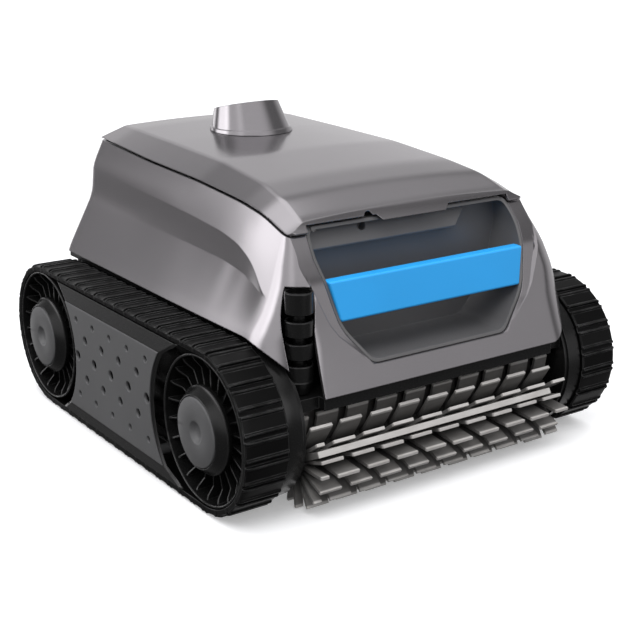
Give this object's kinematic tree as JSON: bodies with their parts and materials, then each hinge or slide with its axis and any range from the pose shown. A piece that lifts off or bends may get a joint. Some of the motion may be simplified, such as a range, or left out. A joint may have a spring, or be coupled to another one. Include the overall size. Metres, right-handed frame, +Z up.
{
  "type": "pool cleaner",
  "caption": "Robotic pool cleaner on rubber tracks, with a hinged lid and outlet nozzle, a carrying handle in a front recess, and a finned roller brush at each end.",
  "frame": {"origin": "on the floor under the middle of the machine's bounding box, midway between the tracks and the axles", "axes": "+X to the machine's right seen from in front, front faces -Y, +Z up"},
  "size_m": [0.3988, 0.4476, 0.2872],
  "materials": {
    "shell_grey": "metallic grey, satin gloss",
    "handle_blue": "smooth satin blue",
    "liner_grey": "fine grain, matt",
    "panel_grey": "fine grain, matt",
    "black_plastic": "moulded, semi-matt",
    "track_rubber": "moulded rubber",
    "brush_pvc": "flexible PVC, matt",
    "motor_housing": "moulded, semi-matt",
    "steel": "turned stainless steel",
    "nylon": "natural nylon"
  },
  "bodies": {
    "hull": {"chassis_tub": "black_plastic", "body_shell": "shell_grey", "recess_liner": "liner_grey", "handle_grip": "handle_blue", "corner_buffer": "black_plastic", "side_panel_right": "panel_grey", "side_panel_left": "panel_grey", "drive_casing_right": "black_plastic", "drive_casing_left": "black_plastic", "track_belt_right": "track_rubber", "track_belt_left": "track_rubber", "pump_motor": "motor_housing", "drive_motor_right": "motor_housing", "drive_motor_left": "motor_housing", "filter_basket": "panel_grey", "outlet_duct": "black_plastic", "cable_gland": "black_plastic", "gland_nut": "black_plastic", "lid_hinge_pin_left": "steel", "lid_hinge_pin_right": "steel", "brush_bush_front_right": "nylon", "brush_bush_front_left": "nylon", "brush_bush_rear_right": "nylon", "brush_bush_rear_left": "nylon", "axle_front_right": "steel", "axle_front_left": "steel", "axle_rear_right": "steel", "axle_rear_left": "steel"},
    "lid": {"lid": "shell_grey", "outlet_nozzle": "shell_grey", "outlet_grille": "black_plastic"},
    "wheel_front_right": {"wheel_front_right": "black_plastic", "hub_cap_front_right": "panel_grey", "wheel_bush_front_right": "nylon"},
    "wheel_front_left": {"wheel_front_left": "black_plastic", "hub_cap_front_left": "panel_grey", "wheel_bush_front_left": "nylon", "wheel_gear_front_left": "nylon"},
    "wheel_rear_right": {"wheel_rear_right": "black_plastic", "hub_cap_rear_right": "panel_grey", "wheel_bush_rear_right": "nylon", "wheel_gear_rear_right": "nylon"},
    "wheel_rear_left": {"wheel_rear_left": "black_plastic", "hub_cap_rear_left": "panel_grey", "wheel_bush_rear_left": "nylon", "wheel_gear_rear_left": "nylon"},
    "idler_front": {"idler_gear_front": "nylon"},
    "idler_rear": {"idler_gear_rear": "nylon"},
    "brush_front": {"brush_roller_front": "panel_grey", "brush_blades_front": "brush_pvc", "brush_pinion_front": "nylon"},
    "brush_rear": {"brush_roller_rear": "panel_grey", "brush_blades_rear": "brush_pvc", "brush_pinion_rear": "nylon"},
    "drive_pinion_right": {"drive_pinion_right": "nylon"},
    "drive_pinion_left": {"drive_pinion_left": "nylon"},
    "propeller": {"propeller": "nylon"},
    "inlet_flap": {"inlet_flap": "liner_grey"}
  },
  "joints": [
    {"name": "lid_hinge", "type": "hinge", "parent": "hull", "child": "lid", "pos_m": [0, 0.188, 0.249], "axis": [-1, 0, 0], "range_deg": [0, 75]},
    {"name": "inlet_flap_hinge", "type": "hinge", "parent": "hull", "child": "inlet_flap", "pos_m": [0, -0.045, 0.021], "axis": [-1, 0, 0], "range_deg": [0, 70]},
    {"name": "propeller_spin", "type": "hinge", "parent": "hull", "child": "propeller", "pos_m": [0, 0.083, 0.2], "axis": [0, 0, 1], "continuous": true},
    {"name": "wheel_rear_right_spin", "type": "hinge", "parent": "hull", "child": "wheel_rear_right", "pos_m": [0.175, 0.148, 0.069], "axis": [1, 0, 0], "continuous": true},
    {"name": "wheel_rear_left_spin", "type": "hinge", "parent": "hull", "child": "wheel_rear_left", "pos_m": [-0.175, 0.148, 0.069], "axis": [1, 0, 0], "continuous": true},
    {"name": "wheel_front_right_spin", "type": "hinge", "parent": "hull", "child": "wheel_front_right", "pos_m": [0.175, -0.148, 0.069], "axis": [1, 0, 0], "continuous": true},
    {"name": "wheel_front_left_spin", "type": "hinge", "parent": "hull", "child": "wheel_front_left", "pos_m": [-0.175, -0.148, 0.069], "axis": [1, 0, 0], "continuous": true},
    {"name": "drive_pinion_right_spin", "type": "hinge", "parent": "hull", "child": "drive_pinion_right", "pos_m": [0.148, 0.12154, 0.069], "axis": [1, 0, 0], "continuous": true},
    {"name": "drive_pinion_left_spin", "type": "hinge", "parent": "hull", "child": "drive_pinion_left", "pos_m": [-0.148, 0.12154, 0.069], "axis": [1, 0, 0], "continuous": true},
    {"name": "idler_front_spin", "type": "hinge", "parent": "hull", "child": "idler_front", "pos_m": [-0.148, -0.16888, 0.05274], "axis": [1, 0, 0], "continuous": true},
    {"name": "idler_rear_spin", "type": "hinge", "parent": "hull", "child": "idler_rear", "pos_m": [0.148, 0.16888, 0.05274], "axis": [1, 0, 0], "continuous": true},
    {"name": "brush_front_spin", "type": "hinge", "parent": "hull", "child": "brush_front", "pos_m": [0, -0.1828, 0.0419], "axis": [1, 0, 0], "continuous": true},
    {"name": "brush_rear_spin", "type": "hinge", "parent": "hull", "child": "brush_rear", "pos_m": [0, 0.1828, 0.0419], "axis": [1, 0, 0], "continuous": true}
  ],
  "couplings": [
    {"joint": "wheel_front_right_spin", "follows": "wheel_rear_right_spin", "ratio": 1},
    {"joint": "drive_pinion_right_spin", "follows": "wheel_rear_right_spin", "ratio": -2},
    {"joint": "idler_rear_spin", "follows": "wheel_rear_right_spin", "ratio": -2},
    {"joint": "brush_rear_spin", "follows": "wheel_rear_right_spin", "ratio": 2},
    {"joint": "wheel_front_left_spin", "follows": "wheel_rear_left_spin", "ratio": 1},
    {"joint": "drive_pinion_left_spin", "follows": "wheel_rear_left_spin", "ratio": -2},
    {"joint": "idler_front_spin", "follows": "wheel_rear_left_spin", "ratio": -2},
    {"joint": "brush_front_spin", "follows": "wheel_rear_left_spin", "ratio": 2}
  ]
}
